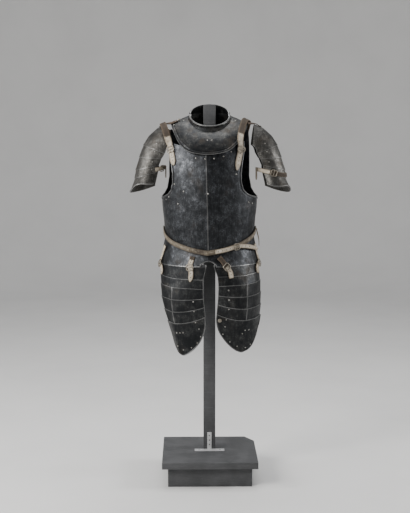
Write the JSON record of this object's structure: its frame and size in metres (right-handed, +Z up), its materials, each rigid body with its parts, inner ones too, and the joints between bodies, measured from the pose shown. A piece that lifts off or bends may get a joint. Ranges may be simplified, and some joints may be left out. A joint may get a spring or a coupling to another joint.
{
  "type": "half armour cuirass on a display stand",
  "caption": "Blackened plate armour for the torso, neck, shoulders and thighs, strapped together over a plain wooden stand.",
  "frame": {"origin": "middle of the stand block's underside, on the floor", "axes": "+Z up, the armour faces -Y, +X to the right of somebody who looks at its front"},
  "size_m": [0.6347, 0.3676, 1.4981],
  "materials": {
    "blackened_steel": "blackened by fire, worn paler on the ridges, with a faint brown patina",
    "pale_leather": "undyed buff straps, dry and scuffed",
    "brown_leather": "dark brown straps, worn at the edges",
    "buckle_iron": "dull forged iron",
    "painted_wood": "matt grey paint",
    "bare_iron": "pale satin"
  },
  "bodies": {
    "root": {"stand_block": "painted_wood", "stand_top": "painted_wood", "stand_post": "painted_wood", "stand_bracket": "bare_iron", "stand_yoke": "painted_wood", "breastplate": "blackened_steel", "backplate": "blackened_steel", "fauld": "blackened_steel", "gorget_front": "blackened_steel", "gorget_back": "blackened_steel", "tasset_left_lame_1": "blackened_steel", "tasset_left_lame_2": "blackened_steel", "tasset_left_lame_3": "blackened_steel", "tasset_left_lame_4": "blackened_steel", "tasset_left_lame_5": "blackened_steel", "tasset_left_end_plate": "blackened_steel", "tasset_right_lame_1": "blackened_steel", "tasset_right_lame_2": "blackened_steel", "tasset_right_lame_3": "blackened_steel", "tasset_right_lame_4": "blackened_steel", "tasset_right_lame_5": "blackened_steel", "tasset_right_end_plate": "blackened_steel", "spaudler_left_main": "blackened_steel", "spaudler_left_lame_1": "blackened_steel", "spaudler_left_lame_2": "blackened_steel", "spaudler_left_lame_3": "blackened_steel", "spaudler_left_lower": "blackened_steel", "spaudler_right_main": "blackened_steel", "spaudler_right_lame_1": "blackened_steel", "spaudler_right_lame_2": "blackened_steel", "spaudler_right_lame_3": "blackened_steel", "spaudler_right_lower": "blackened_steel", "shoulder_strap_left": "pale_leather", "shoulder_strap_right": "pale_leather", "shoulder_buckle_left": "buckle_iron", "shoulder_buckle_right": "buckle_iron", "spaudler_hanger_left": "brown_leather", "spaudler_hanger_right": "brown_leather", "waist_belt": "pale_leather", "belt_tail": "pale_leather", "belt_buckle": "buckle_iron", "hip_strap": "pale_leather", "tasset_strap_left_hip": "pale_leather", "tasset_strap_left_front": "pale_leather", "tasset_strap_right_front": "pale_leather", "tasset_strap_right_hip": "pale_leather", "tasset_buckle_left_hip": "buckle_iron", "tasset_buckle_left_front": "buckle_iron", "tasset_buckle_right_front": "buckle_iron", "tasset_buckle_right_hip": "buckle_iron", "arm_strap_left": "pale_leather", "arm_strap_right": "brown_leather", "arm_buckle_left": "buckle_iron", "arm_buckle_right": "buckle_iron", "arm_strap_end_left": "pale_leather", "arm_strap_end_right": "pale_leather", "gorget_pin_left": "buckle_iron", "tasset_knob_right": "buckle_iron"}
  },
  "joints": []
}
